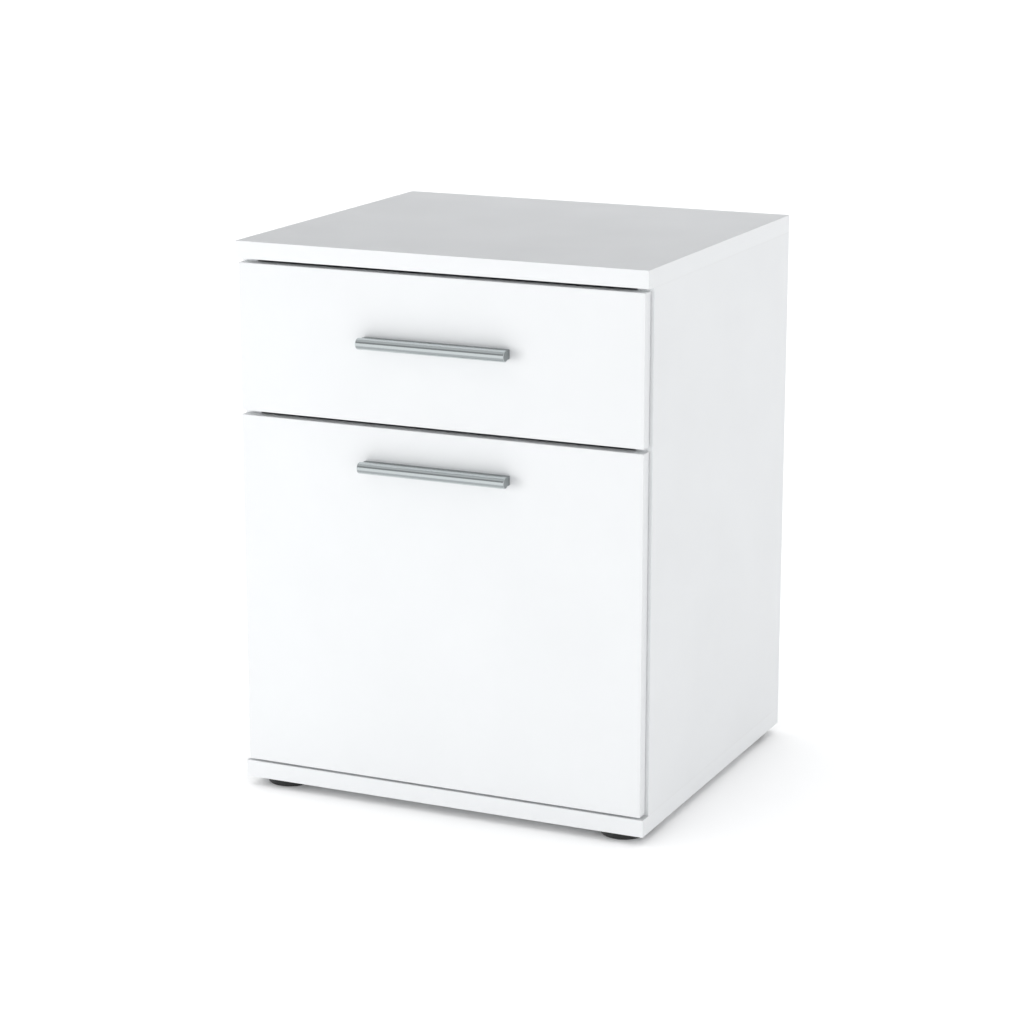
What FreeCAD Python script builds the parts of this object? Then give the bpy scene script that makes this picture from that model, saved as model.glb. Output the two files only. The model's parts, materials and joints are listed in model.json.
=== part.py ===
import FreeCAD, Part
import os

# Pedestal cabinet in white board with one shallow and one deep drawer, standing on four round glides.
# Millimetres. +X is the cabinet's right as seen from the front, the drawers open towards -Y, +Z is up.
# The origin is on the floor, at the centre of the footprint with the handles included.

# ---- driving dimensions -------------------------------------------------------------------------

WIDTH = 400.0
BODY_DEPTH = 356.5  # top and bottom panels, front edge to back edge
BODY_HEIGHT = 506.5  # underside of the bottom panel to the top surface
BOARD = 16.0  # carcass board
DRAWER_BOARD = 12.0  # drawer fronts, sides and backs
FIBREBOARD = 3.0  # cabinet back and drawer bottoms
EDGE_BREAK = 0.4  # chamfer on every board edge
FIT = 0.1  # play around fasteners and panels in their holes and grooves
RUNNING_GAP = 0.3  # play between pieces that move past each other

FRONT_GAP = 1.2  # between a closed front and the side panels
FRONT_SIDE_REVEAL = 3.0  # fronts are narrower than the cabinet by this much each side
LOWER_FRONT_BOTTOM = 18.0  # above the underside of the bottom panel
LOWER_FRONT_HEIGHT = 329.5
FRONTS_SPACING = 4.0
UPPER_FRONT_HEIGHT = 135.5

FOOT_RADIUS = 21.0
FOOT_HEIGHT = 9.0
FOOT_INSET_X = 30.0  # foot centre from the side of the cabinet
FOOT_INSET_Y = 30.5  # foot centre from the front or back of the cabinet

HANDLE_PROJECTION = 16.0
HANDLE_LENGTH = 144.0
HANDLE_HOLE_SPACING = 128.0
HANDLE_BAR_RADIUS = 5.2
HANDLE_WEB_HEIGHT = 8.0
UPPER_HANDLE_DROP = 62.5  # bar centre below the top edge of its front
LOWER_HANDLE_DROP = 35.5

DRAWER_LENGTH = 300.0  # drawer sides, behind the front
DRAWER_SIDE_CLEARANCE = 12.5  # room for a roller slide on each side
DRAWER_TRAVEL = 225.0
UPPER_DRAWER_RISE = 14.5  # lower edge of the drawer sides above the front's lower edge
LOWER_DRAWER_RISE = 16.0
UPPER_SIDE_HEIGHT = 100.0
LOWER_SIDE_HEIGHT = 255.0

RAIL_LENGTH = 300.0
RAIL_SHEET = 1.2
ROLLER_RADIUS = 10.0
ROLLER_WIDTH = 7.0
TRACK_BELOW_DRAWER = 6.0  # the rollers' track lies this far under the drawer sides' lower edge

# ---- places worked out from them ----------------------------------------------------------------

X_OUT = WIDTH / 2
X_IN = X_OUT - BOARD
X_PANEL_MIDDLE = X_OUT - BOARD / 2
X_BOX_OUT = X_IN - DRAWER_SIDE_CLEARANCE
X_BOX_IN = X_BOX_OUT - DRAWER_BOARD
X_FRONT = X_OUT - FRONT_SIDE_REVEAL

Y_FRONT = HANDLE_PROJECTION - (BODY_DEPTH + HANDLE_PROJECTION) / 2
Y_BACK = Y_FRONT + BODY_DEPTH
Y_FRONT_BACK = Y_FRONT + DRAWER_BOARD
Y_SIDE_FRONT = Y_FRONT_BACK + FRONT_GAP
Y_DRAWER_END = Y_FRONT_BACK + DRAWER_LENGTH

Z_BASE = FOOT_HEIGHT
Z_FLOOR = Z_BASE + BOARD
Z_TOP = Z_BASE + BODY_HEIGHT
Z_CEILING = Z_TOP - BOARD
LOWER_FRONT_Z = Z_BASE + LOWER_FRONT_BOTTOM
UPPER_FRONT_Z = LOWER_FRONT_Z + LOWER_FRONT_HEIGHT + FRONTS_SPACING

DRAWERS = {
    "upper": {
        "front_z": UPPER_FRONT_Z,
        "front_height": UPPER_FRONT_HEIGHT,
        "floor_z": UPPER_FRONT_Z + UPPER_DRAWER_RISE,
        "side_height": UPPER_SIDE_HEIGHT,
        "handle_drop": UPPER_HANDLE_DROP,
        "joint_rises": (38.0, 80.0),  # corner fittings above the drawer sides' lower edge
    },
    "lower": {
        "front_z": LOWER_FRONT_Z,
        "front_height": LOWER_FRONT_HEIGHT,
        "floor_z": LOWER_FRONT_Z + LOWER_DRAWER_RISE,
        "side_height": LOWER_SIDE_HEIGHT,
        "handle_drop": LOWER_HANDLE_DROP,
        "joint_rises": (38.0, 134.0, 230.0),
    },
}
SIDES = {"left": -1, "right": 1}
CORNERS = {
    "front_left": (-1, -1),
    "front_right": (1, -1),
    "rear_left": (-1, 1),
    "rear_right": (1, 1),
}

ORIGIN = FreeCAD.Vector(0, 0, 0)
X_AXIS = FreeCAD.Vector(1, 0, 0)
Y_AXIS = FreeCAD.Vector(0, 1, 0)
Z_AXIS = FreeCAD.Vector(0, 0, 1)


# ---- shape helpers ------------------------------------------------------------------------------


def box(x0, x1, y0, y1, z0, z1):
    return Part.makeBox(x1 - x0, y1 - y0, z1 - z0, FreeCAD.Vector(x0, y0, z0))


def board(x0, x1, y0, y1, z0, z1):
    """A panel with every edge broken."""
    blank = box(x0, x1, y0, y1, z0, z1)
    return blank.makeChamfer(EDGE_BREAK, blank.Edges)


def rod(radius, start, length, axis):
    return Part.makeCylinder(radius, length, FreeCAD.Vector(*start), axis)


def turned(profile, start, axis, grow=0.0):
    """Turned sections in a row along axis. profile holds (start radius, end radius, length)."""
    sections = []
    place = FreeCAD.Vector(*start)
    for first, last, length in profile:
        if first == last:
            sections.append(Part.makeCylinder(first + grow, length, place, axis))
        else:
            sections.append(Part.makeCone(first + grow, last + grow, length, place, axis))
        place = place + axis * length
    return sections[0].fuse(sections[1:])


def circular_edges(shape):
    return [edge for edge in shape.Edges if len(edge.Vertexes) == 1]


def mirrored(shape):
    """The same piece for the cabinet's other side."""
    return shape.mirror(ORIGIN, X_AXIS)


def on_side(shape, side):
    """The piece is modelled for the right side. side is 1 for right and -1 for left."""
    return shape if side > 0 else mirrored(shape)


def pair(shape):
    return [shape, mirrored(shape)]


def edges_along(shape, axis, corners):
    """Edges parallel to axis that pass through the given points of the plane across it."""
    found = []
    for edge in shape.Edges:
        if len(edge.Vertexes) != 2:
            continue
        start, end = (vertex.Point for vertex in edge.Vertexes)
        if (end - start).cross(axis).Length > 1e-6:
            continue
        across = [value for value, along in zip(start, axis) if along == 0]
        if any(abs(across[0] - u) + abs(across[1] - v) < 1e-4 for u, v in corners):
            found.append(edge)
    return found


def facing(shape, at, axis):
    """Turns a tool made at the origin along +Z so that it starts at the point and runs along axis."""
    shape.Placement = FreeCAD.Placement(FreeCAD.Vector(*at), FreeCAD.Rotation(Z_AXIS, axis))
    return shape


def cross_recess(at, axis, reach, depth):
    """Tool for a cross drive: two crossing slots sunk into a head."""
    slot = reach * 0.35
    first = box(-reach, reach, -slot / 2, slot / 2, 0, depth)
    second = box(-slot / 2, slot / 2, -reach, reach, 0, depth)
    return facing(first.fuse(second), at, axis)


def hexagonal_recess(at, axis, apothem, depth):
    corner = FreeCAD.Vector(apothem / 0.866, 0, 0)
    outline = [FreeCAD.Rotation(Z_AXIS, 60 * i).multVec(corner) for i in range(7)]
    return facing(Part.Face(Part.makePolygon(outline)).extrude(Z_AXIS * depth), at, axis)


# ---- fasteners ----------------------------------------------------------------------------------
# With grow, each function gives the tool that drills the fastener's hole.

CONFIRMAT_PROFILE = [(4.75, 4.75, 4.0), (3.5, 3.5, 12.0), (2.9, 2.9, 32.0), (2.9, 1.2, 2.0)]
DOWEL_PROFILE = [(3.2, 4.0, 1.0), (4.0, 4.0, 28.0), (4.0, 3.2, 1.0)]
DOWEL_LENGTH = sum(length for _, _, length in DOWEL_PROFILE)
NAIL_PROFILE = [(1.6, 1.6, 0.6), (0.7, 0.7, 15.4), (0.7, 0.2, 1.0)]
SCREW_TIP_RADIUS = 0.3
PAN_HEAD_HEIGHT = 2.2
CAM_RADIUS = 7.5
CAM_THROAT_RADIUS = 4.2
CAM_BOLT_HEAD = (3.2, 3.2, 3.0)
CAM_BOLT_NECK = (1.8, 1.8, 4.0)
CAM_BOLT_SHANK_RADIUS = 3.0
CAM_BOLT_THREAD_RADIUS = 2.5
CAM_BOLT_HEAD_PAST_CENTRE = 2.5


def countersunk_screw(at, axis, length, radius, head, grow=0.0):
    """Head flush at the point, shank running along axis."""
    cone = head - radius
    tip = radius
    profile = [(head, radius, cone), (radius, radius, length - cone - tip), (radius, SCREW_TIP_RADIUS, tip)]
    screw = turned(profile, at, axis, grow)
    return screw if grow else screw.cut(cross_recess(at, axis, head * 0.6, cone * 0.6))


def pan_head_screw(at, axis, length, radius, head, grow=0.0):
    """The head's seat is at the point and the shank runs along axis."""
    crown = FreeCAD.Vector(*at) - axis * PAN_HEAD_HEIGHT
    bevel = PAN_HEAD_HEIGHT * 0.4
    profile = [(head * 0.8, head, bevel), (head, head, PAN_HEAD_HEIGHT - bevel), (radius, radius, length)]
    screw = turned(profile, crown, axis, grow)
    return screw if grow else screw.cut(cross_recess(crown, axis, head * 0.5, PAN_HEAD_HEIGHT * 0.6))


def confirmat_screw(at, axis, grow=0.0):
    """Board screw with a flush head and a hexagon socket."""
    screw = turned(CONFIRMAT_PROFILE, at, axis, grow)
    return screw if grow else screw.cut(hexagonal_recess(at, axis, 2.0, 3.0))


def cam_lock(face, into, bolt_axis, depth, bolt_depth, grow=0.0):
    """Cam drum sunk into a panel's face, with a throat for the bolt."""
    if grow:
        return rod(CAM_RADIUS + grow, face, depth + grow, into)
    centre = FreeCAD.Vector(*face) + into * bolt_depth
    throat = rod(CAM_THROAT_RADIUS, centre - bolt_axis * 5.0, CAM_RADIUS + 6.0, bolt_axis)
    return rod(CAM_RADIUS, face, depth, into).cut([throat, cross_recess(face, into, 3.2, 1.5)])


def cam_bolt(cam_centre, axis, cam_distance, thread, grow=0.0):
    """Bolt along axis from inside a cam to its thread in the mating panel."""
    start = FreeCAD.Vector(*cam_centre) - axis * CAM_BOLT_HEAD_PAST_CENTRE
    shank = cam_distance + CAM_BOLT_HEAD_PAST_CENTRE - CAM_BOLT_HEAD[2] - CAM_BOLT_NECK[2]
    profile = [
        CAM_BOLT_HEAD,
        CAM_BOLT_NECK,
        (CAM_BOLT_SHANK_RADIUS, CAM_BOLT_SHANK_RADIUS, shank),
        (CAM_BOLT_THREAD_RADIUS, CAM_BOLT_THREAD_RADIUS, thread),
    ]
    return turned(profile, start, axis, grow)


# ---- carcass ------------------------------------------------------------------------------------

REBATE = BOARD / 2  # width of the step that the back panel lies in
FIRST_FITTING = 37.0  # from a side panel's front or back edge
FITTING_STEP = 32.0
Y_FITTINGS = (Y_SIDE_FRONT + FIRST_FITTING, Y_BACK - FIRST_FITTING)
Y_DOWELS = (Y_FITTINGS[0] + FITTING_STEP, Y_FITTINGS[1] - FITTING_STEP)
CAM_DEPTH = 12.5
CAM_DISTANCE = 34.0
Z_CAMS = Z_CEILING - CAM_DISTANCE
CAM_BOLT_THREAD = 11.0
DOWEL_DEPTH = 11.0  # in the top and bottom panels
NAILS_ACROSS = 4
NAILS_UP = 6


def top_cam_locks(grow=0.0):
    made = []
    for y in Y_FITTINGS:
        made += pair(cam_lock((X_IN, y, Z_CAMS), X_AXIS, Z_AXIS, CAM_DEPTH, BOARD / 2, grow))
    return made


def top_cam_bolts(grow=0.0):
    made = []
    for y in Y_FITTINGS:
        made += pair(cam_bolt((X_PANEL_MIDDLE, y, Z_CAMS), Z_AXIS, CAM_DISTANCE, CAM_BOLT_THREAD, grow))
    return made


def carcass_dowels(grow=0.0):
    made = []
    for y in Y_DOWELS:
        for z in (Z_FLOOR - DOWEL_DEPTH, Z_CEILING + DOWEL_DEPTH - DOWEL_LENGTH):
            made += pair(turned(DOWEL_PROFILE, (X_PANEL_MIDDLE, y, z), Z_AXIS, grow))
    return made


def bottom_confirmat_screws(grow=0.0):
    made = []
    for y in Y_FITTINGS:
        made += pair(confirmat_screw((X_PANEL_MIDDLE, y, Z_BASE), Z_AXIS, grow))
    return made


def back_panel_nails(grow=0.0):
    """Nails all round the back panel, down the middle of its rebate."""
    x_line = X_IN + REBATE / 2
    z_line = (Z_FLOOR - REBATE / 2, Z_CEILING + REBATE / 2)
    spots = []
    for i in range(NAILS_ACROSS):
        x = x_line * ((2 * i + 1) / NAILS_ACROSS - 1)
        spots += [(x, z) for z in z_line]
    for i in range(NAILS_UP):
        z = z_line[0] + (z_line[1] - z_line[0]) * (i + 0.5) / NAILS_UP
        spots += [(-x_line, z), (x_line, z)]
    return [turned(NAIL_PROFILE, (x, Y_BACK, z), -Y_AXIS, grow) for x, z in spots]


def back_panel(play):
    x = X_IN + REBATE - play
    return box(-x, x, Y_BACK - FIBREBOARD, Y_BACK, Z_FLOOR - REBATE + play, Z_CEILING + REBATE - play)


def carcass_panels():
    """Top and bottom cover the fronts and the ends of the sides. The back lies in a rebate all round."""
    shared = [back_panel(0.0)] + carcass_dowels(FIT) + back_panel_nails(FIT)
    top_holes = top_cam_bolts(FIT)
    bottom_holes = bottom_confirmat_screws(FIT)
    side_holes = top_holes + bottom_holes + top_cam_locks(FIT) + cabinet_rail_screws(FIT)
    top = board(-X_OUT, X_OUT, Y_FRONT, Y_BACK, Z_CEILING, Z_TOP)
    bottom = board(-X_OUT, X_OUT, Y_FRONT, Y_BACK, Z_BASE, Z_FLOOR)
    side = board(X_IN, X_OUT, Y_SIDE_FRONT, Y_BACK, Z_FLOOR, Z_CEILING)
    return {
        "top_panel": top.cut(shared + top_holes),
        "bottom_panel": bottom.cut(shared + bottom_holes + foot_screws(FIT)),
        "right_side_panel": side.cut(shared + side_holes),
        "left_side_panel": mirrored(side).cut(shared + side_holes),
        "back_panel": back_panel(2 * FIT).cut(back_panel_nails(FIT)),
    }


# ---- feet ---------------------------------------------------------------------------------------

FOOT_RIM_ROUNDING = 0.8
FOOT_RECESS_RADIUS = 7.0
FOOT_RECESS_DEPTH = 6.0
FOOT_SCREW_RADIUS = 1.9
FOOT_SCREW_HEAD = 4.0
FOOT_SCREW_LENGTH = 16.0


def foot_centre(corner):
    side, end = CORNERS[corner]
    y = Y_FRONT + FOOT_INSET_Y if end < 0 else Y_BACK - FOOT_INSET_Y
    return side * (X_OUT - FOOT_INSET_X), y


def foot(corner):
    """Round glide with a screw recess in its underside."""
    start = foot_centre(corner) + (0,)
    disc = rod(FOOT_RADIUS, start, FOOT_HEIGHT, Z_AXIS)
    disc = disc.makeFillet(FOOT_RIM_ROUNDING, circular_edges(disc))
    recess = rod(FOOT_RECESS_RADIUS, start, FOOT_RECESS_DEPTH, Z_AXIS)
    hole = rod(FOOT_SCREW_RADIUS + FIT, start, FOOT_HEIGHT, Z_AXIS)
    return disc.cut([recess, hole])


def foot_screws(grow=0.0):
    made = []
    for corner in CORNERS:
        seat = foot_centre(corner) + (FOOT_RECESS_DEPTH,)
        made.append(pan_head_screw(seat, Z_AXIS, FOOT_SCREW_LENGTH, FOOT_SCREW_RADIUS, FOOT_SCREW_HEAD, grow))
    return made


# ---- roller slides ------------------------------------------------------------------------------

RAIL_SETBACK = 2.0  # front end of each rail behind the edge it starts from
TRACK_WIDTH = 10.0
TRACK_LIP = 5.0
RAIL_SHELF = 11.0  # the part of a drawer rail that carries the drawer side
BEND_OUTSIDE = RAIL_SHEET * 0.9
BEND_INSIDE = RAIL_SHEET * 0.35
ROLLER_RISE = RUNNING_GAP + ROLLER_RADIUS  # roller centre above the track
FLANGE_RISE = ROLLER_RISE + ROLLER_RADIUS + RUNNING_GAP
LIP_RISE = FLANGE_RISE + RAIL_SHEET + 2 * RUNNING_GAP
ROLLER_END_DISTANCE = 12.0  # roller axis from the end of its rail
ROLLER_ROUNDING = 0.6
ROLLER_DISH_RADIUS = 6.8
ROLLER_DISH_DEPTH = 1.0
ROLLER_HUB_RADIUS = 4.5
PIN_RADIUS = 2.5
PIN_PLAY = 0.05
PIN_HEAD_RADIUS = 4.0
PIN_HEAD = 0.8
FRONT_ROLLER_X = X_IN - RAIL_SHEET - 0.8 - ROLLER_WIDTH
REAR_ROLLER_X = FRONT_ROLLER_X - 0.6
STOP_HEIGHT = 4.0
STOP_THICKNESS = 3.0
STOP_CLEARANCE = 0.5
STOP_X = (X_IN - 8.0, X_IN - 3.0)
RAIL_SCREW_SHARES = (0.16, 0.48, 0.86)  # along the rail's length
RAIL_SCREW_RADIUS = 1.75
RAIL_SCREW_HEAD = 3.3
CABINET_RAIL_SCREW_LENGTH = 13.0
DRAWER_RAIL_SCREW_LENGTH = 10.0

Y_CABINET_RAIL = Y_SIDE_FRONT + RAIL_SETBACK
Y_DRAWER_RAIL = Y_FRONT_BACK + RAIL_SETBACK
DRAWER_RAIL_LENGTH = RAIL_LENGTH - RAIL_SETBACK
Y_FRONT_ROLLER = Y_CABINET_RAIL + ROLLER_END_DISTANCE
Y_REAR_ROLLER = Y_DRAWER_RAIL + DRAWER_RAIL_LENGTH - ROLLER_END_DISTANCE


def track_z(level):
    """Height of the surface that the rear rollers run on."""
    return DRAWERS[level]["floor_z"] - TRACK_BELOW_DRAWER


def roller_z(level):
    return track_z(level) + ROLLER_RISE


def pin_hole(x_start, y, level):
    return rod(PIN_RADIUS, (x_start, y, roller_z(level)), 2 * RAIL_SHEET, X_AXIS)


def travel_stop(level):
    """Raised tab on the track, which the rear roller meets when the drawer is fully out."""
    drop = ROLLER_RISE - STOP_HEIGHT
    reach = (ROLLER_RADIUS**2 - drop**2) ** 0.5
    y_back = Y_REAR_ROLLER - DRAWER_TRAVEL - reach - STOP_CLEARANCE
    track = track_z(level)
    return box(*STOP_X, y_back - STOP_THICKNESS, y_back, track - RAIL_SHEET / 2, track + STOP_HEIGHT)


def cabinet_rail(level):
    """Channel on the side panel: the track below and a retaining lip above."""
    track = track_z(level)
    lip_z = track + LIP_RISE
    ends = (Y_CABINET_RAIL, Y_CABINET_RAIL + RAIL_LENGTH)
    web = box(X_IN - RAIL_SHEET, X_IN, *ends, track - RAIL_SHEET, lip_z + RAIL_SHEET)
    floor = box(X_IN - TRACK_WIDTH, X_IN, *ends, track - RAIL_SHEET, track)
    lip = box(X_IN - TRACK_LIP, X_IN, *ends, lip_z, lip_z + RAIL_SHEET)
    channel = web.fuse([floor, lip]).removeSplitter()
    outer = [(X_IN, track - RAIL_SHEET), (X_IN, lip_z + RAIL_SHEET)]
    inner = [(X_IN - RAIL_SHEET, track), (X_IN - RAIL_SHEET, lip_z)]
    channel = channel.makeFillet(BEND_OUTSIDE, edges_along(channel, Y_AXIS, outer))
    channel = channel.makeFillet(BEND_INSIDE, edges_along(channel, Y_AXIS, inner))
    return channel.fuse(travel_stop(level)).cut(pin_hole(X_IN - 2 * RAIL_SHEET, Y_FRONT_ROLLER, level))


def drawer_rail(level):
    """Rail under and beside a drawer side, with the flange that runs over the front roller."""
    floor_z = DRAWERS[level]["floor_z"]
    flange_z = track_z(level) + FLANGE_RISE
    ends = (Y_DRAWER_RAIL, Y_DRAWER_RAIL + DRAWER_RAIL_LENGTH)
    x_web = (X_BOX_OUT, X_BOX_OUT + RAIL_SHEET)
    flange_edge = X_IN - RAIL_SHEET - 4 * RUNNING_GAP
    web = box(*x_web, *ends, floor_z - RAIL_SHEET, flange_z + RAIL_SHEET)
    shelf = box(X_BOX_OUT - RAIL_SHELF, x_web[1], *ends, floor_z - RAIL_SHEET, floor_z)
    flange = box(X_BOX_OUT, flange_edge, *ends, flange_z, flange_z + RAIL_SHEET)
    rail = web.fuse([shelf, flange]).removeSplitter()
    outer = [(x_web[1], floor_z - RAIL_SHEET), (x_web[0], flange_z + RAIL_SHEET)]
    inner = [(x_web[1], flange_z)]
    rail = rail.makeFillet(BEND_OUTSIDE, edges_along(rail, Y_AXIS, outer))
    rail = rail.makeFillet(BEND_INSIDE, edges_along(rail, Y_AXIS, inner))
    return rail.cut(pin_hole(X_BOX_OUT, Y_REAR_ROLLER, level))


def roller(x_start, y, level):
    """Nylon wheel turning about X, dished on its inner face."""
    z = roller_z(level)
    wheel = rod(ROLLER_RADIUS, (x_start, y, z), ROLLER_WIDTH, X_AXIS)
    wheel = wheel.makeFillet(ROLLER_ROUNDING, circular_edges(wheel))
    dish = rod(ROLLER_DISH_RADIUS, (x_start, y, z), ROLLER_DISH_DEPTH, X_AXIS)
    hub = rod(ROLLER_HUB_RADIUS, (x_start, y, z), ROLLER_DISH_DEPTH, X_AXIS)
    bore = rod(PIN_RADIUS + PIN_PLAY, (x_start, y, z), ROLLER_WIDTH, X_AXIS)
    return wheel.cut([dish.cut(hub), bore])


def front_roller_pin(level):
    """Rivet through the cabinet rail, with its head towards the drawer."""
    shank = X_IN - (FRONT_ROLLER_X - FIT)
    profile = [(PIN_HEAD_RADIUS, PIN_HEAD_RADIUS, PIN_HEAD), (PIN_RADIUS, PIN_RADIUS, shank)]
    return turned(profile, (X_IN - shank - PIN_HEAD, Y_FRONT_ROLLER, roller_z(level)), X_AXIS)


def rear_roller_pin(level):
    """Rivet through the drawer rail, with its head beside the cabinet rail."""
    shank = REAR_ROLLER_X + ROLLER_WIDTH + FIT - X_BOX_OUT
    profile = [(PIN_RADIUS, PIN_RADIUS, shank), (PIN_HEAD_RADIUS, PIN_HEAD_RADIUS, PIN_HEAD)]
    return turned(profile, (X_BOX_OUT, Y_REAR_ROLLER, roller_z(level)), X_AXIS)


def cabinet_rail_screws(grow=0.0):
    made = []
    for level in DRAWERS:
        for share in RAIL_SCREW_SHARES:
            at = (X_IN - RAIL_SHEET, Y_CABINET_RAIL + RAIL_LENGTH * share, roller_z(level))
            length = CABINET_RAIL_SCREW_LENGTH
            made += pair(countersunk_screw(at, X_AXIS, length, RAIL_SCREW_RADIUS, RAIL_SCREW_HEAD, grow))
    return made


def drawer_rail_screws(level, grow=0.0):
    made = []
    for share in RAIL_SCREW_SHARES:
        y = Y_DRAWER_RAIL + DRAWER_RAIL_LENGTH * share
        at = (X_BOX_OUT + RAIL_SHEET, y, DRAWERS[level]["floor_z"] + TRACK_BELOW_DRAWER)
        length = DRAWER_RAIL_SCREW_LENGTH
        made += pair(countersunk_screw(at, -X_AXIS, length, RAIL_SCREW_RADIUS, RAIL_SCREW_HEAD, grow))
    return made


# ---- handles ------------------------------------------------------------------------------------

HANDLE_WEB_INSET = 1.0  # the web stops this far short of the bar at each end
HANDLE_BAR_ROUNDING = 0.7
HANDLE_WEB_ROUNDING = 0.5
HANDLE_TAP_RADIUS = 2.05
HANDLE_TAP_DEPTH = 9.0
HANDLE_SCREW_BITE = 8.0
HANDLE_SCREW_RADIUS = 2.0
HANDLE_SCREW_HEAD = 4.0
X_HANDLE_HOLES = (-HANDLE_HOLE_SPACING / 2, HANDLE_HOLE_SPACING / 2)


def handle_z(level):
    drawer = DRAWERS[level]
    return drawer["front_z"] + drawer["front_height"] - drawer["handle_drop"]


def handle(level):
    """Round-nosed bar on a lower web, tapped from behind."""
    z = handle_z(level)
    y_bar = Y_FRONT - HANDLE_PROJECTION + HANDLE_BAR_RADIUS
    x_bar = HANDLE_LENGTH / 2
    bar = rod(HANDLE_BAR_RADIUS, (-x_bar, y_bar, z), HANDLE_LENGTH, X_AXIS)
    bar = bar.makeFillet(HANDLE_BAR_ROUNDING, circular_edges(bar))
    x_web = x_bar - HANDLE_WEB_INSET
    web = box(-x_web, x_web, y_bar, Y_FRONT, z - HANDLE_WEB_HEIGHT / 2, z + HANDLE_WEB_HEIGHT / 2)
    upright = [(x, Y_FRONT) for x in (-x_web, x_web)]
    web = web.makeFillet(HANDLE_WEB_ROUNDING, edges_along(web, Z_AXIS, upright))
    taps = [rod(HANDLE_TAP_RADIUS, (x, Y_FRONT, z), HANDLE_TAP_DEPTH, -Y_AXIS) for x in X_HANDLE_HOLES]
    return bar.fuse(web).removeSplitter().cut(taps)


def handle_screws(level, grow=0.0):
    length = DRAWER_BOARD + HANDLE_SCREW_BITE
    made = []
    for x in X_HANDLE_HOLES:
        seat = (x, Y_FRONT_BACK, handle_z(level))
        made.append(pan_head_screw(seat, -Y_AXIS, length, HANDLE_SCREW_RADIUS, HANDLE_SCREW_HEAD, grow))
    return made


# ---- drawers ------------------------------------------------------------------------------------

GROOVE_RISE = 12.0  # drawer bottom above the sides' lower edge
GROOVE_DEPTH = 6.0
DRAWER_CAM_DEPTH = 9.5
DRAWER_CAM_DISTANCE = 24.0
DRAWER_BOLT_THREAD = 8.0
CORNER_SCREW_LENGTH = 30.0
CORNER_SCREW_RADIUS = 1.75
CORNER_SCREW_HEAD = 3.5
BUMPER_RADIUS = 4.0
BUMPER_THICKNESS = FRONT_GAP - RUNNING_GAP
BUMPER_ROUNDING = 0.6
BUMPER_INSET = 20.0  # from the front's top and bottom edges


def joint_heights(level):
    return [DRAWERS[level]["floor_z"] + rise for rise in DRAWERS[level]["joint_rises"]]


def drawer_cam_locks(level, grow=0.0):
    """Cams in the outer faces of the drawer sides, which draw the front on."""
    made = []
    for z in joint_heights(level):
        face = (X_BOX_OUT, Y_FRONT_BACK + DRAWER_CAM_DISTANCE, z)
        made += pair(cam_lock(face, -X_AXIS, -Y_AXIS, DRAWER_CAM_DEPTH, DRAWER_BOARD / 2, grow))
    return made


def drawer_cam_bolts(level, grow=0.0):
    made = []
    for z in joint_heights(level):
        centre = (X_BOX_OUT - DRAWER_BOARD / 2, Y_FRONT_BACK + DRAWER_CAM_DISTANCE, z)
        made += pair(cam_bolt(centre, -Y_AXIS, DRAWER_CAM_DISTANCE, DRAWER_BOLT_THREAD, grow))
    return made


def corner_screws(level, grow=0.0):
    """Screws through the drawer sides into the ends of the back."""
    made = []
    for z in joint_heights(level):
        at = (X_BOX_OUT, Y_DRAWER_END - DRAWER_BOARD / 2, z)
        length = CORNER_SCREW_LENGTH
        made += pair(countersunk_screw(at, -X_AXIS, length, CORNER_SCREW_RADIUS, CORNER_SCREW_HEAD, grow))
    return made


def bumpers(level):
    """Soft buttons on the back of a front, which meet the side panels' edges when it shuts."""
    drawer = DRAWERS[level]
    front_top = drawer["front_z"] + drawer["front_height"]
    made = []
    for z in (drawer["front_z"] + BUMPER_INSET, front_top - BUMPER_INSET):
        button = rod(BUMPER_RADIUS, (X_PANEL_MIDDLE, Y_FRONT_BACK, z), BUMPER_THICKNESS, Y_AXIS)
        middle = Y_FRONT_BACK + BUMPER_THICKNESS / 2
        face_rim = [edge for edge in circular_edges(button) if edge.CenterOfMass.y > middle]
        made += pair(button.makeFillet(BUMPER_ROUNDING, face_rim))
    return made


def bottom_groove(level, y_end):
    """Tool for the groove that holds the drawer bottom, from inside the front back to y_end."""
    x = X_BOX_IN + GROOVE_DEPTH
    z = DRAWERS[level]["floor_z"] + GROOVE_RISE
    return box(-x, x, Y_FRONT_BACK - GROOVE_DEPTH, y_end, z, z + FIBREBOARD + 2 * FIT)


def drawer_bottom(level):
    x = X_BOX_IN + GROOVE_DEPTH - 2 * FIT
    z = DRAWERS[level]["floor_z"] + GROOVE_RISE + FIT
    y_front = Y_FRONT_BACK - GROOVE_DEPTH + 2 * FIT
    y_back = Y_DRAWER_END - DRAWER_BOARD + GROOVE_DEPTH - 2 * FIT
    return box(-x, x, y_front, y_back, z, z + FIBREBOARD)


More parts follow.
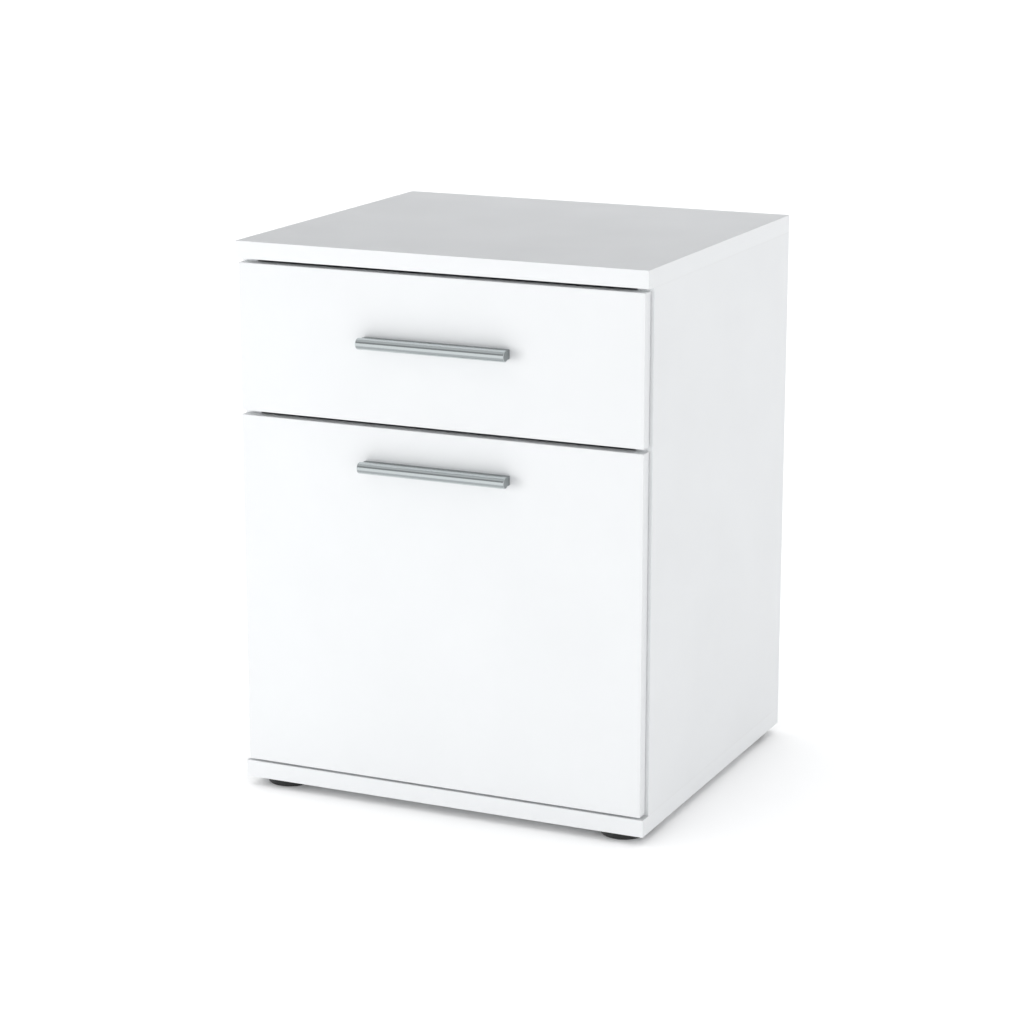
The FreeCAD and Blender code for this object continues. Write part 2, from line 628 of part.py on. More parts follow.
def drawer_panels(level):
    """Front, sides and back, grooved all round for the bottom."""
    drawer = DRAWERS[level]
    floor_z = drawer["floor_z"]
    top_z = floor_z + drawer["side_height"]
    front_top = drawer["front_z"] + drawer["front_height"]
    front = board(-X_FRONT, X_FRONT, Y_FRONT, Y_FRONT_BACK, drawer["front_z"], front_top)
    side = board(X_BOX_IN, X_BOX_OUT, Y_FRONT_BACK, Y_DRAWER_END, floor_z, top_z)
    back = board(-X_BOX_IN, X_BOX_IN, Y_DRAWER_END - DRAWER_BOARD, Y_DRAWER_END, floor_z, top_z)
    through_groove = bottom_groove(level, Y_DRAWER_END)
    back_groove = bottom_groove(level, Y_DRAWER_END - DRAWER_BOARD + GROOVE_DEPTH)
    front_tools = [through_groove] + handle_screws(level, FIT) + drawer_cam_bolts(level, FIT)
    side_tools = [through_groove] + drawer_cam_locks(level, FIT) + drawer_cam_bolts(level, FIT)
    side_tools += corner_screws(level, FIT) + drawer_rail_screws(level, FIT)
    return {
        f"{level}_drawer_front": front.cut(front_tools),
        f"{level}_drawer_right_side": side.cut(side_tools),
        f"{level}_drawer_left_side": mirrored(side).cut(side_tools),
        f"{level}_drawer_back": back.cut([back_groove] + corner_screws(level, FIT)),
        f"{level}_drawer_bottom": drawer_bottom(level),
    }


# ---- the whole cabinet --------------------------------------------------------------------------


def carcass_nodes():
    nodes = carcass_panels()
    nodes["back_panel_nails"] = back_panel_nails()
    nodes["top_cam_locks"] = top_cam_locks()
    nodes["top_cam_bolts"] = top_cam_bolts()
    nodes["carcass_dowels"] = carcass_dowels()
    nodes["bottom_confirmat_screws"] = bottom_confirmat_screws()
    for corner in CORNERS:
        nodes[f"{corner}_foot"] = foot(corner)
    nodes["foot_screws"] = foot_screws()
    nodes["cabinet_rail_screws"] = cabinet_rail_screws()
    nodes["front_roller_pins"] = [pin for level in DRAWERS for pin in pair(front_roller_pin(level))]
    for level in DRAWERS:
        rail = cabinet_rail(level).cut(cabinet_rail_screws(FIT))
        wheel = roller(FRONT_ROLLER_X, Y_FRONT_ROLLER, level)
        for name, side in SIDES.items():
            nodes[f"{level}_{name}_cabinet_rail"] = on_side(rail, side)
            nodes[f"{level}_{name}_front_roller"] = on_side(wheel, side)
    return nodes


def drawer_nodes(level):
    nodes = drawer_panels(level)
    nodes[f"{level}_handle"] = handle(level)
    nodes[f"{level}_handle_screws"] = handle_screws(level)
    nodes[f"{level}_drawer_cam_locks"] = drawer_cam_locks(level)
    nodes[f"{level}_drawer_cam_bolts"] = drawer_cam_bolts(level)
    nodes[f"{level}_drawer_corner_screws"] = corner_screws(level)
    nodes[f"{level}_drawer_bumpers"] = bumpers(level)
    nodes[f"{level}_drawer_rail_screws"] = drawer_rail_screws(level)
    nodes[f"{level}_rear_roller_pins"] = pair(rear_roller_pin(level))
    rail = drawer_rail(level).cut(drawer_rail_screws(level, FIT))
    wheel = roller(REAR_ROLLER_X, Y_REAR_ROLLER, level)
    for name, side in SIDES.items():
        nodes[f"{level}_{name}_drawer_rail"] = on_side(rail, side)
        nodes[f"{level}_{name}_rear_roller"] = on_side(wheel, side)
    return nodes


def main():
    nodes = carcass_nodes()
    for level in DRAWERS:
        nodes.update(drawer_nodes(level))
    os.makedirs("parts", exist_ok=True)
    for name, made in nodes.items():
        pieces = made if isinstance(made, list) else [made]
        solids = [solid for piece in pieces for solid in piece.Solids]
        Part.makeCompound(solids).exportStep(f"parts/{name}.step")
    print(len(nodes), "nodes")


main()
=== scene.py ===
import json
import math

import bmesh
import bpy
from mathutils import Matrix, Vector


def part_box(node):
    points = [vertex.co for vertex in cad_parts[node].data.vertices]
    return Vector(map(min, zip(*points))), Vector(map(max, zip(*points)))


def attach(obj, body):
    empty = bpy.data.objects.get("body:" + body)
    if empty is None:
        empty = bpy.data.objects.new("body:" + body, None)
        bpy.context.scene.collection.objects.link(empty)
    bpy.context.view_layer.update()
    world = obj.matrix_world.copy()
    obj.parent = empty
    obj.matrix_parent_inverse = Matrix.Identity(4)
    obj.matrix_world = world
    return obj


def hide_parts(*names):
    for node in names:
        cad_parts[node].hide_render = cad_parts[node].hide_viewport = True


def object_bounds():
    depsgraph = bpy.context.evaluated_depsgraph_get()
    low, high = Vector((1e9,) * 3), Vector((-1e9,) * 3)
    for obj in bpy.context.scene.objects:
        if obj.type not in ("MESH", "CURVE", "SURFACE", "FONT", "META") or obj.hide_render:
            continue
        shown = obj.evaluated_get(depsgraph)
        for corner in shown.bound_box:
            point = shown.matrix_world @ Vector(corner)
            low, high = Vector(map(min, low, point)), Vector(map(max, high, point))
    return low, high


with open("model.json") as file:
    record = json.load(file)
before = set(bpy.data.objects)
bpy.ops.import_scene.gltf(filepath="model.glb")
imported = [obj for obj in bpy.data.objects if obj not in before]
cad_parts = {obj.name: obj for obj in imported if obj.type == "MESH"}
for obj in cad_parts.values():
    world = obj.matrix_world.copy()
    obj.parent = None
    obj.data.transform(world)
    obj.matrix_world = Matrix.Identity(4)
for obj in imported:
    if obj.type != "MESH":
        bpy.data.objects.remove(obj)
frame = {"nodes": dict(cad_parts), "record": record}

# Drawer pedestal cabinet. The carcass boards, the drawer fronts, the handles and the feet are rebuilt here
# as finished pieces; drawer boxes, slides and fittings keep their CAD shape and get procedural finishes.
# Metres, in the CAD frame: the drawers open towards -Y, +X is the cabinet's right, +Z is up.

MM = 0.001
X, Y, Z = 0, 1, 2
AXES = (Vector((1, 0, 0)), Vector((0, 1, 0)), Vector((0, 0, 1)))
CAD_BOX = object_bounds()
NODES = frame["nodes"]
BODIES = frame["record"]["behaviour"]["bodies"]
BODY_OF = {node: body for body, members in BODIES.items() for node in members}
LEVELS = ("upper", "lower")
SIDES = ("left", "right")

# ---- places --------------------------------------------------------------------------------------

BAND_THICKNESS = 0.8 * MM  # edge band glued on a board's narrow faces
BAND_ROUNDING = 0.5 * MM
GLUED_EDGE_SHARE = 0.04  # how much of BAND_ROUNDING an edge against the core keeps
PANEL_PLAY = 0.2 * MM
OVERSHOOT = 0.5 * MM  # how far a cutting tool runs past a face

HANDLE_BAR_RADIUS = 5.2 * MM
HANDLE_BAR_ROUNDING = 0.8 * MM
HANDLE_WEB_HEIGHT = 8.6 * MM
HANDLE_WEB_INSET = 1.0 * MM
HANDLE_WEB_ROUNDING = 0.5 * MM
HANDLE_END_FLAT = 0.9  # radius of the inner ring on a bar's end, as a share of the flat there
END_FACING = 0.98  # how squarely a face looks along X to count as one of the sawn ends

FOOT_BORE_RADIUS = 2.0 * MM
FOOT_RECESS_RADIUS = 7.0 * MM
FOOT_RECESS_DEPTH = 6.0 * MM
FOOT_RECESS_ROUNDING = 0.5 * MM
FOOT_SOLE_STEP = 0.5 * MM  # the ring it stands on is this much lower than the rest of the sole
FOOT_SOLE_WIDTH = 9.0 * MM
FOOT_RIM_ROUNDING = 0.9 * MM
FOOT_TOP_ROUNDING = 0.45 * MM
FOOT_SEAM_HEIGHT = 6.4 * MM  # moulding seam round the wall
FOOT_SEAM_DEPTH = 0.18 * MM

RAIL_THICKNESS = 1.2 * MM

BOARD_SHARP_ANGLE = 15.0  # degrees between faces from which an edge is shaded sharp
ROUND_SHARP_ANGLE = 35.0
ROUNDING_SEGMENTS = 4
BORE_STEPS = 32
TURNED_STEPS = 96
SAME_POINT = 0.001 * MM

DRILLED = {  # radius of the hole for each set of fasteners
    "top_cam_locks": 7.6 * MM,
    "top_cam_bolts": 3.1 * MM,
    "carcass_dowels": 4.1 * MM,
    "back_panel_nails": 0.8 * MM,
    "bottom_confirmat_screws": 4.85 * MM,
    "foot_screws": 2.0 * MM,
    "cabinet_rail_screws": 1.85 * MM,
    "upper_handle_screws": 2.1 * MM,
    "lower_handle_screws": 2.1 * MM,
    "upper_drawer_cam_bolts": 3.1 * MM,
    "lower_drawer_cam_bolts": 3.1 * MM,
}


def box_centre(box):
    return (box[0] + box[1]) / 2


def grown(box, amount):
    margin = Vector((amount, amount, amount))
    return box[0] - margin, box[1] + margin


def overlaps(box, other):
    return all(box[0][i] < other[1][i] and other[0][i] < box[1][i] for i in (X, Y, Z))


def islands(node):
    """The box of each separate solid in a CAD node."""
    mesh = bmesh.new()
    mesh.from_mesh(NODES[node].data)
    bmesh.ops.remove_doubles(mesh, verts=mesh.verts, dist=SAME_POINT)
    unseen = set(mesh.verts)
    boxes = []
    while unseen:
        stack = [unseen.pop()]
        low, high = stack[0].co.copy(), stack[0].co.copy()
        while stack:
            vertex = stack.pop()
            low = Vector(map(min, low, vertex.co))
            high = Vector(map(max, high, vertex.co))
            for edge in vertex.link_edges:
                other = edge.other_vert(vertex)
                if other in unseen:
                    unseen.remove(other)
                    stack.append(other)
        boxes.append((low, high))
    mesh.free()
    return boxes


# ---- material building ---------------------------------------------------------------------------


class Finish:
    """A node material around one Principled shader, in the object's own coordinates."""

    def __init__(self, name, settings):
        self.material = bpy.data.materials.new(name)
        self.material.use_nodes = True
        self.tree = self.material.node_tree
        self.shader = self.tree.nodes["Principled BSDF"]
        for socket, value in settings.items():
            self.shader.inputs[socket].default_value = value
        self.place = self.add("ShaderNodeTexCoord", "Object")

    def add(self, kind, output, inputs=None, **settings):
        """Adds a node and returns its output socket. Inputs are values or other nodes' sockets."""
        node = self.tree.nodes.new(kind)
        for key, value in settings.items():
            setattr(node, key, value)
        for key, value in (inputs or {}).items():
            self.feed(node.inputs[key], value)
        return node.outputs[output]

    def feed(self, socket, value):
        """Links value to the socket if it is a socket, or else sets it there."""
        if isinstance(value, bpy.types.NodeSocket):
            self.tree.links.new(value, socket)
        else:
            socket.default_value = value

    def stretched(self, scale):
        """The object's coordinates, each multiplied by its share of scale."""
        return self.add("ShaderNodeMapping", "Vector", {"Vector": self.place, "Scale": scale})

    def noise(self, per_metre, detail=2.0, stretch=(1, 1, 1)):
        """Soft noise from 0 to 1, with that many blotches in a metre."""
        vector = self.stretched(stretch)
        inputs = {"Vector": vector, "Scale": per_metre, "Detail": detail, "Roughness": 0.55}
        return self.add("ShaderNodeTexNoise", "Fac", inputs)

    def cells(self, per_metre, stretch=(1, 1, 1), output="Distance"):
        """Packed cells, with that many in a metre: the distance to a cell's middle, or a colour for each."""
        inputs = {"Vector": self.stretched(stretch), "Scale": per_metre}
        return self.add("ShaderNodeTexVoronoi", output, inputs)

    def math(self, operation, first, second=0.0):
        return self.add("ShaderNodeMath", 0, {0: first, 1: second}, operation=operation)

    def spread(self, value, low, high, to_low=0.0, to_high=1.0):
        """Maps value from low..high to to_low..to_high, held at the ends."""
        inputs = {"Value": value, "From Min": low, "From Max": high, "To Min": to_low, "To Max": to_high}
        return self.add("ShaderNodeMapRange", "Result", inputs)

    def blend(self, share, first, second):
        """Mixes two colours, on the Mix node's colour sockets: 6 and 7 in, 2 out."""
        return self.add("ShaderNodeMix", 2, {0: share, 6: first, 7: second}, data_type="RGBA")

    def coordinate(self, axis):
        return self.add("ShaderNodeSeparateXYZ", axis, {"Vector": self.place})

    def edge_distance(self, box):
        """Distance from a surface point of a box to the nearest of the box's edges."""
        from_low = self.add("ShaderNodeVectorMath", 0, {0: self.place, 1: box[0]}, operation="SUBTRACT")
        to_high = self.add("ShaderNodeVectorMath", 0, {0: box[1], 1: self.place}, operation="SUBTRACT")
        nearest = self.add("ShaderNodeVectorMath", 0, {0: from_low, 1: to_high}, operation="MINIMUM")
        a, b, c = (self.add("ShaderNodeSeparateXYZ", axis, {"Vector": nearest}) for axis in (X, Y, Z))
        smaller = self.math("MINIMUM", a, b)
        larger = self.math("MAXIMUM", a, b)
        return self.math("MAXIMUM", smaller, self.math("MINIMUM", larger, c))

    def colour(self, value):
        self.feed(self.shader.inputs["Base Color"], value)

    def roughness(self, value):
        self.feed(self.shader.inputs["Roughness"], value)

    def relief(self, *layers):
        """Each layer is (height from 0 to 1, depth in metres)."""
        normal = None
        for height, depth in layers:
            inputs = {"Height": height, "Distance": depth, "Strength": 1.0}
            if normal:
                inputs["Normal"] = normal
            normal = self.add("ShaderNodeBump", "Normal", inputs)
        self.feed(self.shader.inputs["Normal"], normal)


def tone(value, tint=(1.0, 1.0, 1.0)):
    """A linear colour with alpha: the tint, value times as bright."""
    return tuple(value * channel for channel in tint) + (1.0,)


# Tints, for tone().
COOL_WHITE = (0.985, 1.0, 1.008)
FIBREBOARD_WHITE = (1.0, 1.0, 0.985)
FIBREBOARD_FLECK = (1.0, 0.985, 0.95)
ENAMEL_WHITE = (1.0, 1.0, 0.99)
NYLON_WHITE = (1.0, 0.99, 0.95)
COOL_METAL = (0.93, 1.0, 1.005)
BLUE_ZINC = (0.97, 0.99, 1.02)
DULL_ZINC = (1.0, 1.0, 0.98)

# Whole colours, darker and lighter of each.
DARK_CHIP, LIGHT_CHIP = tone(1.0, (0.30, 0.19, 0.10)), tone(1.0, (0.68, 0.52, 0.33))
CHIP_DUST = tone(1.0, (0.50, 0.37, 0.23))
DARK_FIBRE, LIGHT_FIBRE = tone(1.0, (0.27, 0.17, 0.10)), tone(1.0, (0.40, 0.27, 0.17))
DARK_BEECH, LIGHT_BEECH = tone(1.0, (0.56, 0.38, 0.22)), tone(1.0, (0.72, 0.54, 0.36))
BEECH_RAY = tone(1.0, (0.36, 0.21, 0.11))
RUBBER_CORE, RUBBER_HAZE = tone(0.80, (1.0, 1.0, 0.97)), tone(0.88, (1.0, 1.0, 0.98))


def melamine(name, box):
    """White decor paper under melamine resin: faint pearl relief, handled edges a little duller."""
    made = Finish(name, {"IOR": 1.5, "Specular IOR Level": 0.5})
    cloud = made.noise(9.0, detail=3.0)
    fleck = made.noise(1400.0, detail=2.0)
    sheet = made.blend(made.spread(cloud, 0.3, 0.7), tone(0.865, COOL_WHITE), tone(0.885, COOL_WHITE))
    sheet = made.blend(made.spread(fleck, 0.62, 0.72, 0.0, 0.35), sheet, tone(0.835, COOL_WHITE))
    edge = made.edge_distance(box)
    near_edge = made.spread(edge, 0.3 * MM, 2.2 * MM, 1.0, 0.0)
    handled = made.math("MULTIPLY", near_edge, made.noise(60.0, detail=3.0))
    sheet = made.blend(made.math("MULTIPLY", handled, 0.5), sheet, tone(0.80))
    made.colour(sheet)
    smudges = made.spread(made.noise(22.0, detail=4.0), 0.35, 0.75, 0.36, 0.46)
    made.roughness(made.math("ADD", smudges, made.math("MULTIPLY", handled, 0.12)))
    made.relief((made.noise(850.0, detail=3.0), 0.035 * MM), (made.cells(2600.0), 0.012 * MM))
    return made.material


def edge_band(name, box):
    """White plastic strip, slightly uneven, rubbed greyer along its own edges."""
    made = Finish(name, {"IOR": 1.5})
    cloud = made.noise(30.0, detail=2.0)
    strip = made.blend(cloud, tone(0.87, COOL_WHITE), tone(0.89, COOL_WHITE))
    edge = made.edge_distance(box)
    near_edge = made.spread(edge, 0.1 * MM, 0.9 * MM, 1.0, 0.0)
    rub = made.math("MULTIPLY", near_edge, made.noise(140.0, detail=4.0))
    strip = made.blend(made.spread(rub, 0.45, 0.75, 0.0, 0.3), strip, tone(0.74))
    made.colour(strip)
    made.roughness(made.spread(made.noise(400.0, detail=3.0), 0.3, 0.7, 0.30, 0.42))
    made.relief((made.noise(1100.0, detail=2.0), 0.02 * MM), (made.noise(260.0, detail=1.0), 0.03 * MM))
    return made.material


def chipboard(name):
    """Raw core where a board is drilled, grooved or rebated: pressed chips in glue."""
    made = Finish(name, {"IOR": 1.45})
    chip = made.cells(520.0, stretch=(1.0, 1.0, 2.4), output="Color")
    chip_tone = made.add("ShaderNodeSeparateColor", 0, {"Color": chip})
    wood = made.blend(chip_tone, DARK_CHIP, LIGHT_CHIP)
    fine = made.noise(2400.0, detail=4.0, stretch=(1.0, 1.0, 3.0))
    made.colour(made.blend(made.math("MULTIPLY", fine, 0.5), wood, CHIP_DUST))
    made.roughness(made.spread(fine, 0.2, 0.8, 0.75, 0.92))
    made.relief((made.cells(520.0, stretch=(1.0, 1.0, 2.4)), 0.25 * MM), (fine, 0.12 * MM))
    return made.material


def painted_fibreboard(name, box):
    """Thin hardboard with a rolled white face; the sawn edges stay brown."""
    made = Finish(name, {"IOR": 1.48})
    fibre = made.noise(1900.0, detail=4.0)
    cloud = made.noise(14.0, detail=3.0)
    patches = made.spread(cloud, 0.3, 0.7)
    white = made.blend(patches, tone(0.80, FIBREBOARD_WHITE), tone(0.84, FIBREBOARD_WHITE))
    white = made.blend(made.spread(fibre, 0.55, 0.75, 0.0, 0.3), white, tone(0.74, FIBREBOARD_FLECK))
    thin = min((X, Y, Z), key=lambda axis: box[1][axis] - box[0][axis])
    normal = made.add("ShaderNodeNewGeometry", "True Normal")
    to_object = {"vector_type": "NORMAL", "convert_from": "WORLD", "convert_to": "OBJECT"}
    local = made.add("ShaderNodeVectorTransform", 0, {0: normal}, **to_object)
    across = made.math("ABSOLUTE", made.add("ShaderNodeSeparateXYZ", thin, {"Vector": local}))
    brown = made.blend(fibre, DARK_FIBRE, LIGHT_FIBRE)
    made.colour(made.blend(made.spread(across, 0.4, 0.6), brown, white))
    made.roughness(made.spread(made.noise(300.0, detail=3.0), 0.3, 0.7, 0.48, 0.62))
    made.relief((fibre, 0.05 * MM), (made.noise(420.0, detail=2.0), 0.05 * MM))
    return made.material


def satin_aluminium(name):
    """Anodised extrusion with faint drawing lines along X."""
    made = Finish(name, {"Metallic": 1.0})
    lines = made.noise(5200.0, detail=3.0, stretch=(0.004, 1.0, 1.0))
    streaks = made.noise(900.0, detail=3.0, stretch=(0.01, 1.0, 1.0))
    cloud = made.noise(45.0, detail=3.0)
    metal = made.blend(lines, tone(0.62, COOL_METAL), tone(0.67, COOL_METAL))
    metal = made.blend(made.math("MULTIPLY", cloud, 0.3), metal, tone(0.58, COOL_METAL))
    made.colour(metal)
    made.roughness(made.spread(streaks, 0.3, 0.7, 0.11, 0.17))
    made.relief((lines, 0.002 * MM), (streaks, 0.003 * MM))
    return made.material


def shaded_cut_aluminium(name):
    """Dull, rough blasted skin of the extrusion's web and of its sawn ends; its dark base colour is painted
    shade, for the shade on the web and on the ends next to the drawer front.
    """
    made = Finish(name, {"Metallic": 1.0})
    grit = made.noise(3800.0, detail=3.0)
    # Painted shade: this dark base colour stands in for the shade on the web and the sawn ends beside the
    # drawer front.
    made.colour(made.blend(grit, tone(0.30, COOL_METAL), tone(0.42, COOL_METAL)))
    made.roughness(made.spread(grit, 0.3, 0.7, 0.42, 0.56))
    made.relief((grit, 0.03 * MM))
    return made.material


def black_plastic(name):
    """Injection-moulded foot: fine cell grain, paler scuffs round the sole."""
    made = Finish(name, {"IOR": 1.5, "Specular IOR Level": 0.4})
    grain = made.cells(1700.0)
    height = made.coordinate(Z)
    near_sole = made.spread(height, 0.2 * MM, 2.5 * MM, 1.0, 0.0)
    scuff = made.math("MULTIPLY", near_sole, made.noise(260.0, detail=4.0))
    body = made.blend(made.noise(80.0, detail=3.0), tone(0.010), tone(0.018))
    made.colour(made.blend(made.spread(scuff, 0.4, 0.8, 0.0, 0.6), body, tone(0.055)))
    moulded = made.spread(grain, 0.0, 0.6, 0.42, 0.56)
    made.roughness(made.math("ADD", moulded, made.math("MULTIPLY", scuff, 0.2)))
    made.relief((grain, 0.05 * MM), (made.noise(600.0, detail=2.0), 0.03 * MM))
    return made.material


def enamelled_steel(name, track):
    """White baked powder coat with orange peel, worn grey at track, the height that rollers run at."""
    made = Finish(name, {"IOR": 1.5, "Coat Weight": 0.25, "Coat Roughness": 0.2})
    peel = made.noise(520.0, detail=2.0)
    height = made.coordinate(Z)
    off_track = made.math("ABSOLUTE", made.math("SUBTRACT", height, track))
    run = made.spread(off_track, 0.3 * MM, 1.6 * MM, 1.0, 0.0)
    worn = made.noise(70.0, detail=5.0, stretch=(1.0, 0.15, 1.0))
    burnish = made.math("MULTIPLY", run, made.spread(worn, 0.42, 0.66))
    coat = made.blend(made.noise(18.0, detail=3.0), tone(0.80, ENAMEL_WHITE), tone(0.84, ENAMEL_WHITE))
    made.colour(made.blend(made.math("MULTIPLY", burnish, 0.55), coat, tone(0.50)))
    glossy = made.spread(peel, 0.3, 0.7, 0.30, 0.40)
    made.roughness(made.math("ADD", glossy, made.math("MULTIPLY", burnish, 0.12)))
    made.relief((peel, 0.06 * MM), (made.noise(2600.0, detail=2.0), 0.01 * MM))
    return made.material


def nylon(name):
    """Slightly translucent roller, unevenly greyed, with turning lines round it."""
    made = Finish(name, {"IOR": 1.53, "Subsurface Weight": 0.25, "Subsurface Scale": 0.002})
    cloud = made.noise(160.0, detail=4.0)
    made.colour(made.blend(cloud, tone(0.66, NYLON_WHITE), tone(0.78, NYLON_WHITE)))
    made.roughness(made.spread(cloud, 0.3, 0.7, 0.30, 0.46))
    turning = made.noise(2600.0, detail=2.0, stretch=(1.0, 0.1, 0.1))
    made.relief((turning, 0.03 * MM), (made.noise(500.0, detail=2.0), 0.03 * MM))
    return made.material


def zinc(name, plated):
    """Zinc: bright blue-white plate on steel, or the duller frosted skin of a casting."""
    made = Finish(name, {"Metallic": 1.0})
    bloom = made.noise(380.0, detail=5.0)
    crystal = made.cells(900.0, output="Color")
    crystal_tone = made.add("ShaderNodeSeparateColor", 0, {"Color": crystal})
    bright = 0.66 if plated else 0.48
    skin = made.blend(bloom, tone(bright, BLUE_ZINC), tone(bright * 0.72, DULL_ZINC))
    made.colour(made.blend(made.math("MULTIPLY", crystal_tone, 0.25), skin, tone(bright * 1.15)))
    low, high = (0.22, 0.42) if plated else (0.45, 0.65)
    made.roughness(made.spread(bloom, 0.3, 0.7, low, high))
    depth = 0.02 * MM if plated else 0.08 * MM
    made.relief((made.noise(1500.0, detail=3.0), depth), (made.cells(900.0), depth / 2))
    return made.material


def beech(name):
    """Turned dowel: pale pink-brown with short dark rays, fluted by its grain along Z."""
    made = Finish(name, {"IOR": 1.45})
    grain = made.noise(1800.0, detail=4.0, stretch=(1.0, 1.0, 0.05))
    rays = made.noise(1500.0, detail=2.0, stretch=(1.0, 1.0, 0.35))
    wood = made.blend(grain, DARK_BEECH, LIGHT_BEECH)
    made.colour(made.blend(made.spread(rays, 0.58, 0.68, 0.0, 0.7), wood, BEECH_RAY))
    made.roughness(made.spread(grain, 0.3, 0.7, 0.55, 0.72))
    made.relief((grain, 0.12 * MM))
    return made.material


def clear_rubber(name):
    """Soft translucent button, hazy on its face."""
    made = Finish(name, {"IOR": 1.42, "Transmission Weight": 0.55, "Subsurface Weight": 0.3})
    haze = made.noise(700.0, detail=3.0)
    made.colour(made.blend(haze, RUBBER_CORE, RUBBER_HAZE))
    made.roughness(made.spread(haze, 0.3, 0.7, 0.28, 0.45))
    made.relief((haze, 0.04 * MM))
    return made.material


# ---- mesh building -------------------------------------------------------------------------------


def mesh_object(name, bm):
    """Ends the bmesh and puts it in the scene as an object."""
    mesh = bpy.data.meshes.new(name)
    bm.to_mesh(mesh)
    bm.free()
    made = bpy.data.objects.new(name, mesh)
    bpy.context.scene.collection.objects.link(made)
    return made


def settled(made):
    """Applies the object's modifiers to its mesh."""
    graph = bpy.context.evaluated_depsgraph_get()
    mesh = bpy.data.meshes.new_from_object(made.evaluated_get(graph))
    old = made.data
    made.modifiers.clear()
    made.data = mesh
    bpy.data.meshes.remove(old)
    return made


def discard(made):
    """Removes an object that was only a tool, and its mesh."""
    mesh = made.data
    bpy.data.objects.remove(made)
    bpy.data.meshes.remove(mesh)


def smooth(made, angle):
    """Smooth shading that keeps broad faces flat, and sharp the edges where faces meet at angle or more."""
    made.data.shade_smooth()
    made.data.set_sharp_from_angle(angle=math.radians(angle))
    made.modifiers.new("flat_faces", "WEIGHTED_NORMAL").keep_sharp = True


def stand_for(piece, node, slot):
    """The piece moves with the CAD node's body and is seen in its place."""
    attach(piece, BODY_OF[node])
    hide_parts(node)


def block(name, box, rounding, share):
    """A box with rounded edges. share(side) is the part of rounding that an edge gets, where side holds
    -1, 0 or 1 for each axis and tells which two faces the edge lies between."""
    low, high = box
    bm = bmesh.new()
    bmesh.ops.create_cube(bm, size=1.0)
    weight = bm.edges.layers.float.new("bevel_weight_edge")
    for edge in bm.edges:
        middle = (edge.verts[0].co + edge.verts[1].co) / 2
        edge[weight] = share(tuple(round(2 * value) for value in middle))
    for vertex in bm.verts:
        vertex.co = Vector((low[i] if vertex.co[i] < 0 else high[i] for i in (X, Y, Z)))
    made = mesh_object(name, bm)
    bevel = made.modifiers.new("rounding", "BEVEL")
    bevel.limit_method = "WEIGHT"
    bevel.offset_type = "OFFSET"
    bevel.width = rounding
    bevel.segments = ROUNDING_SEGMENTS
    return settled(made)


def unrounded(side):
    """The share for a block whose edges all stay sharp."""
    return 0.0


def turned(name, outline, centre, axis, steps, closed):
    """Turns an outline of (distance along axis, radius) points about the axis through centre."""
    across = AXES[(axis + 1) % 3]
    bm = bmesh.new()
    verts = [bm.verts.new(centre + AXES[axis] * along + across * radius) for along, radius in outline]
    edges = [bm.edges.new(ends) for ends in zip(verts, verts[1:])]
    if closed:
        edges.append(bm.edges.new((verts[-1], verts[0])))
    bmesh.ops.spin(
        bm, geom=verts + edges, cent=centre, axis=AXES[axis], angle=math.tau, steps=steps, use_duplicate=False
    )
    bmesh.ops.remove_doubles(bm, verts=bm.verts, dist=SAME_POINT)
    bmesh.ops.recalc_face_normals(bm, faces=bm.faces)
    return mesh_object(name, bm)


def arc(centre, radius, start, end, steps):
    """Points of an arc, angles in degrees from the first coordinate to the second."""
    points = []
    for i in range(steps + 1):
        angle = math.radians(start + (end - start) * i / steps)
        points.append((centre[0] + radius * math.cos(angle), centre[1] + radius * math.sin(angle)))
    return points


def joined(name, pieces):
    """One object holding all the pieces' meshes."""
    bm = bmesh.new()
    for piece in pieces:
        bm.from_mesh(piece.data)
        discard(piece)
    return mesh_object(name, bm)


def combine(made, tool, operation):
    """Boolean of made with tool, which is used up. Cut faces keep the tool's material."""
    change = made.modifiers.new("tool", "BOOLEAN")
    change.operation = operation
    change.object = tool
    change.solver = "EXACT"
    change.material_mode = "TRANSFER"
    settled(made)
    discard(tool)


def bore(node, box):
    """Drill for one fastener, along the axis that its box is longest or shortest on."""
    size = [high - low for low, high in zip(*box)]
    odd = [abs(size[(axis + 1) % 3] - size[(axis + 2) % 3]) for axis in (X, Y, Z)]
    axis = odd.index(min(odd))
    start = box_centre(box)
    start[axis] = box[0][axis] - OVERSHOOT
    length = size[axis] + 2 * OVERSHOOT
    radius = DRILLED[node]
    outline = [(0, 0), (0, radius), (length, radius), (length, 0)]
    return turned("bore", outline, start, axis, BORE_STEPS, closed=False)


def slab(box):
    """The tool for a groove or a rebate."""
    return block("slab", box, BAND_ROUNDING, unrounded)


# ---- boards --------------------------------------------------------------------------------------


def band_share(outer_axis, outer_side, end_axis, full_run, met):
    """How round each edge of an edge-band strip is. A strip that runs the full length turns the corner.
    met is the side of Z that another board stands against along X strips."""

    def share(side):
        if side[outer_axis] == -outer_side:
            return GLUED_EDGE_SHARE
        if outer_axis == X and met and side[Z] == met:
            return 0.0
        if full_run:
            return 1.0
        return 1.0 if side[end_axis] == 0 else GLUED_EDGE_SHARE

    return share


